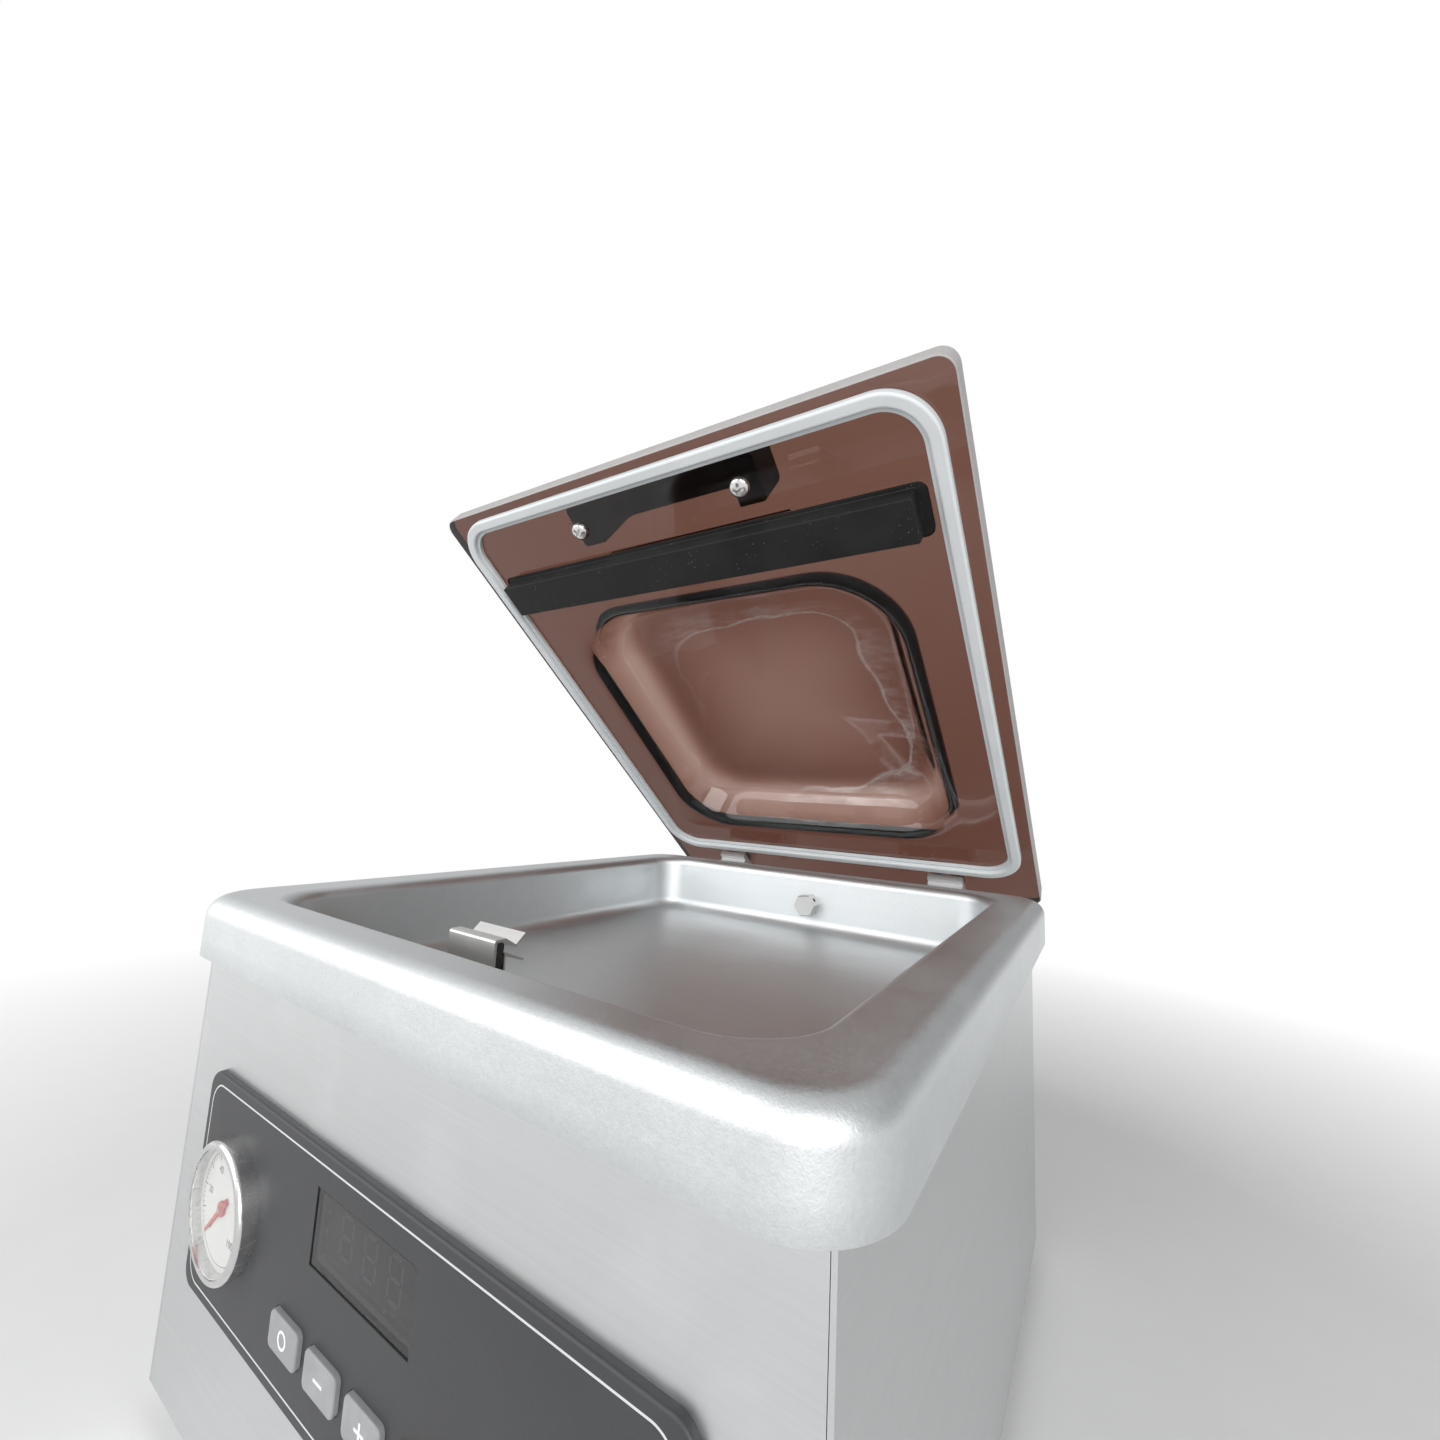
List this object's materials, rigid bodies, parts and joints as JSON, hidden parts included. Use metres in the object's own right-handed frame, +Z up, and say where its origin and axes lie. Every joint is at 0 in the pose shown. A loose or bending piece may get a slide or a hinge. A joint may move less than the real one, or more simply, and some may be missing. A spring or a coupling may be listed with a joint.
{
  "type": "chamber vacuum sealer",
  "caption": "Bench-top chamber vacuum sealer: steel pan with sealed chamber, sprung tinted dome lid, lifting heated seal bar, bag clip, keys, gauge and pump.",
  "frame": {"origin": "middle of the footprint on the ground under the feet, lid open", "axes": "+Z up, +X to the user's right, front towards -Y"},
  "size_m": [0.364, 0.4462, 0.5201],
  "materials": {
    "pan_steel": "satin stainless sheet",
    "panel_steel": "brushed stainless sheet",
    "tray_steel": "zinc plated sheet",
    "fitting_steel": "turned or bent steel",
    "plated": "bright plated",
    "cast": "cast and tumbled",
    "extruded": "anodised",
    "brass": "machined",
    "tinted_acrylic": "clear smoke-brown tint",
    "white_silicone": "smooth",
    "black_silicone": "matt",
    "black_rubber": "matt",
    "black_plastic": "fine grained",
    "grey_plastic": "fine grained",
    "key_plastic": "fine grained",
    "stop_plastic": "fine grained",
    "smoked_window": "polished",
    "tape": "non-stick coated glass cloth",
    "dial_white": "printed",
    "needle_red": "enamelled",
    "clear_lens": "polished",
    "motor_paint": "enamelled",
    "hose": "translucent silicone",
    "board": "lacquered"
  },
  "bodies": {
    "housing": {"chamber_pan": "pan_steel", "side_panel_left": "panel_steel", "side_panel_right": "panel_steel", "front_panel": "panel_steel", "rear_panel": "panel_steel", "panel_screws": "plated", "base_tray": "tray_steel", "rubber_feet": "black_rubber", "suction_nozzle": "fitting_steel", "suction_elbow": "brass", "suction_hose": "hose", "bag_clip_plate": "fitting_steel", "bag_clip_leaf": "fitting_steel", "bag_clip_grip": "black_rubber", "bag_clip_screws": "plated", "lift_cylinders": "cast", "lift_gland_nuts": "fitting_steel", "lift_hoses": "hose", "hinge_bracket_left": "fitting_steel", "hinge_bracket_right": "fitting_steel", "bracket_screws": "plated", "hinge_pins": "plated", "lid_spring_left": "fitting_steel", "lid_spring_right": "fitting_steel", "vacuum_pump": "cast", "pump_motor": "motor_paint", "pump_mounts": "black_rubber", "valve_block": "brass", "valve_coils": "black_plastic", "seal_transformer": "motor_paint", "control_board": "board", "board_standoffs": "brass", "control_fascia": "grey_plastic", "display_window": "smoked_window", "gauge_case": "plated", "gauge_dial": "dial_white", "gauge_lens": "clear_lens", "switch_body": "black_plastic", "power_inlet": "black_plastic"},
    "lid": {"lid_shell": "tinted_acrylic", "lid_gasket": "white_silicone", "press_pad": "black_silicone", "lid_handle": "black_plastic", "handle_screws": "plated", "hinge_arm_left": "cast", "hinge_arm_right": "cast", "arm_screws": "plated"},
    "seal_bar": {"seal_bar": "extruded", "heating_ribbon": "fitting_steel", "sealing_tape": "tape", "ribbon_clamps": "brass", "lift_rods": "fitting_steel"},
    "set_key": {"set_key": "key_plastic"},
    "minus_key": {"minus_key": "key_plastic"},
    "plus_key": {"plus_key": "key_plastic"},
    "stop_key": {"stop_key": "stop_plastic"},
    "power_rocker": {"power_rocker": "black_plastic"},
    "gauge_needle": {"gauge_needle": "needle_red"}
  },
  "joints": [
    {"name": "lid_hinge", "type": "hinge", "parent": "housing", "child": "lid", "pos_m": [0, 0.18318, 0.2141], "axis": [-1, 0, 0], "range_deg": [-38.2, 0], "stiffness_Nm_per_rad": 1.8, "springref_deg": 131.78, "deforming": ["lid_spring_left", "lid_spring_right"]},
    {"name": "seal_bar_lift", "type": "slide", "parent": "housing", "child": "seal_bar", "axis": [0, 0, 1], "range_m": [0, 0.0207]},
    {"name": "set_key_press", "type": "slide", "parent": "housing", "child": "set_key", "axis": [0, 1, 0], "range_m": [0, 0.001], "stiffness_N_per_m": 600},
    {"name": "minus_key_press", "type": "slide", "parent": "housing", "child": "minus_key", "axis": [0, 1, 0], "range_m": [0, 0.001], "stiffness_N_per_m": 600},
    {"name": "plus_key_press", "type": "slide", "parent": "housing", "child": "plus_key", "axis": [0, 1, 0], "range_m": [0, 0.001], "stiffness_N_per_m": 600},
    {"name": "stop_key_press", "type": "slide", "parent": "housing", "child": "stop_key", "axis": [0, 1, 0], "range_m": [0, 0.001], "stiffness_N_per_m": 600},
    {"name": "power_rocker_tilt", "type": "hinge", "parent": "housing", "child": "power_rocker", "pos_m": [0.106, -0.21462, 0.116], "axis": [-1, 0, 0], "range_deg": [0, 18]},
    {"name": "gauge_needle_turn", "type": "hinge", "parent": "housing", "child": "gauge_needle", "pos_m": [-0.104, -0.21612, 0.116], "axis": [0, 1, 0], "range_deg": [0, 270], "stiffness_Nm_per_rad": 0.0005}
  ]
}
